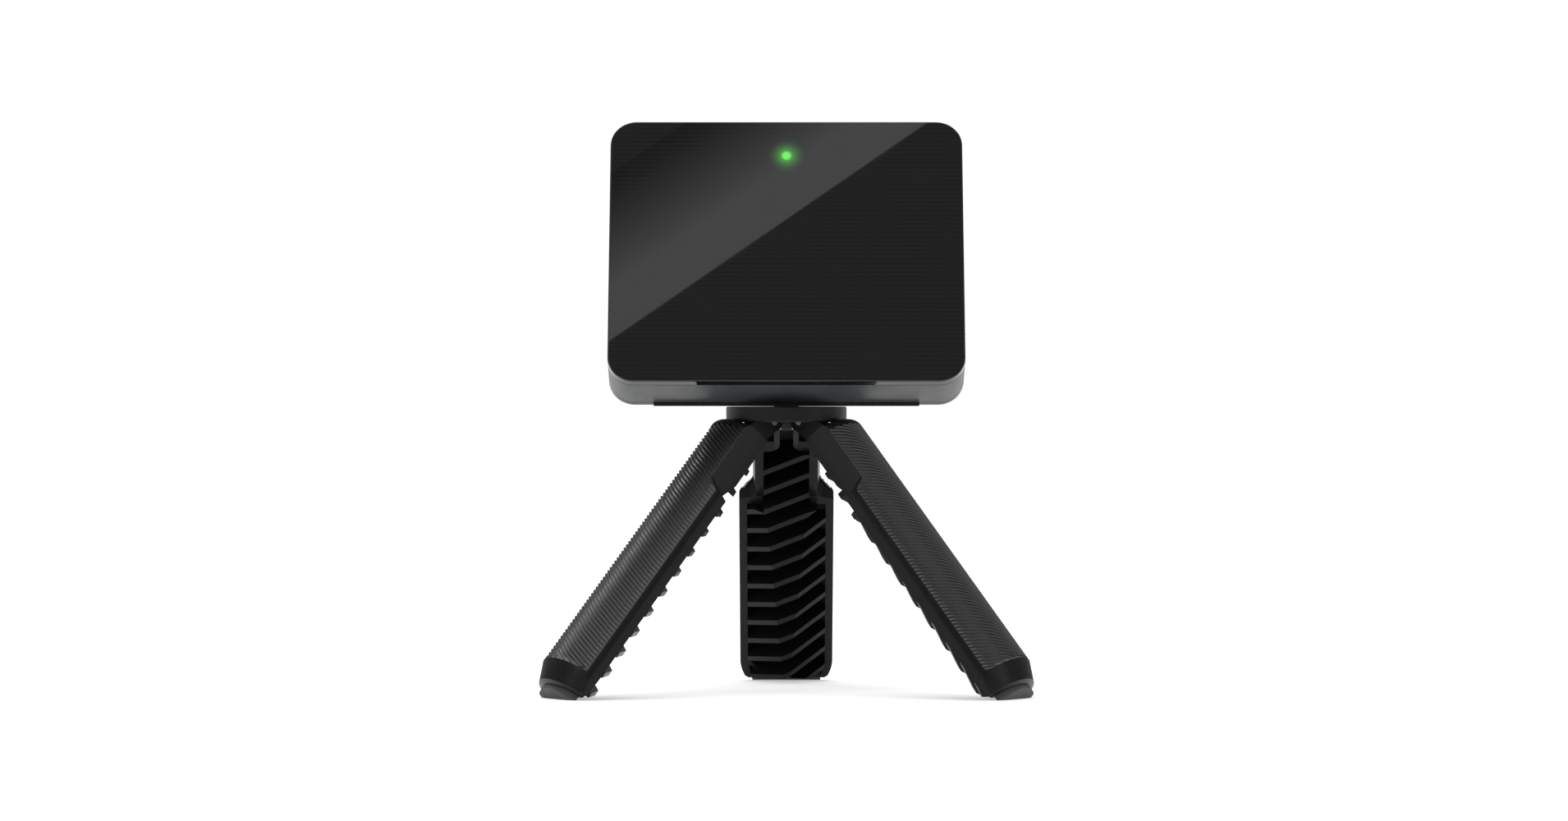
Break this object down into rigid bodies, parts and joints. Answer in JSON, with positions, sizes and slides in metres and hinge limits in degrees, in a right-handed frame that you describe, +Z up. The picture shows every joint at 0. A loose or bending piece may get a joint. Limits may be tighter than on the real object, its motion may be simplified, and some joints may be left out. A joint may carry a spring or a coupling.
{
  "type": "launch monitor",
  "caption": "Flat radar launch monitor with a glossy black face, tilted back on a mini tripod with folding ribbed legs.",
  "frame": {"origin": "on the ground, under the centre of the whole object's box; the tripod's axis stands 13.07 mm in front of it, towards -Y", "axes": "+Z up; the face looks towards -Y and leans back; +X is to the right of someone in front of the face"},
  "size_m": [0.1208, 0.1082, 0.1424],
  "materials": {
    "panel_gloss": "high gloss",
    "housing_grey": "satin metallic paint",
    "housing_black": "fine satin",
    "button_black": "satin",
    "platform_black": "satin",
    "leg_black": "satin",
    "seal_rubber": "matt",
    "foot_rubber": "matt",
    "foam_black": "open foam",
    "screw_black": "black plated",
    "screw_steel": "bright",
    "insert_brass": "plain",
    "circuit_board": "solder mask",
    "patch_gold": "plated",
    "chip_black": "matt",
    "shield_metal": "tinned",
    "cell_foil": "foil",
    "connector_white": "matt",
    "led_white": "clear",
    "light_green": "translucent, lit green",
    "washer_nylon": "waxy"
  },
  "bodies": {
    "platform": {"platform_disc": "platform_black", "platform_pad": "seal_rubber", "tripod_stud": "screw_steel", "stud_screw": "screw_steel", "hinge_washers": "washer_nylon", "pin_rear": "screw_steel", "pin_left": "screw_steel", "pin_right": "screw_steel"},
    "head": {"front_panel": "panel_gloss", "face_gasket": "seal_rubber", "mid_frame": "housing_grey", "cover_gasket": "seal_rubber", "rear_cover": "housing_black", "cover_screws": "screw_black", "usb_cap_pin": "screw_steel", "antenna_board": "circuit_board", "transmit_patches": "patch_gold", "receive_patches": "patch_gold", "radar_chip": "chip_black", "radar_shield": "shield_metal", "board_link": "chip_black", "board_spacers": "patch_gold", "board_screws": "screw_steel", "main_board": "circuit_board", "processor_chip": "chip_black", "processor_shield": "shield_metal", "wireless_module": "shield_metal", "board_parts": "chip_black", "battery_cell": "cell_foil", "battery_foam": "foam_black", "battery_lead": "connector_white", "status_led": "led_white", "light_pipe": "light_green", "button_switch": "chip_black", "usb_socket": "shield_metal", "tripod_insert": "insert_brass"},
    "button": {"power_button": "button_black"},
    "cap": {"usb_cap": "seal_rubber"},
    "leg_rear": {"leg_rear": "leg_black", "foot_rear": "foot_rubber"},
    "leg_left": {"leg_left": "leg_black", "foot_left": "foot_rubber"},
    "leg_right": {"leg_right": "leg_black", "foot_right": "foot_rubber"}
  },
  "joints": [
    {"name": "head_turn", "type": "hinge", "parent": "platform", "child": "head", "pos_m": [0, -0.01307, 0.07105], "axis": [0, 0, 1], "continuous": true},
    {"name": "leg_rear_fold", "type": "hinge", "parent": "platform", "child": "leg_rear", "pos_m": [0, -0.00794, 0.0672], "axis": [-1, 0, 0], "range_deg": [0, 39.3]},
    {"name": "leg_left_fold", "type": "hinge", "parent": "platform", "child": "leg_left", "pos_m": [-0.00444, -0.01563, 0.0672], "axis": [0.5, -0.866, 0], "range_deg": [0, 39.3]},
    {"name": "leg_right_fold", "type": "hinge", "parent": "platform", "child": "leg_right", "pos_m": [0.00444, -0.01563, 0.0672], "axis": [0.5, 0.866, 0], "range_deg": [0, 39.3]},
    {"name": "button_press", "type": "slide", "parent": "head", "child": "button", "axis": [0, -0.9198, 0.3923], "range_m": [0, 0.0004], "stiffness_N_per_m": 1500, "springref_m": -0.0004},
    {"name": "cap_open", "type": "hinge", "parent": "head", "child": "cap", "pos_m": [0.0339, -0.0055, 0.09424], "axis": [0, 0.9198, -0.3923], "range_deg": [0, 105]}
  ]
}
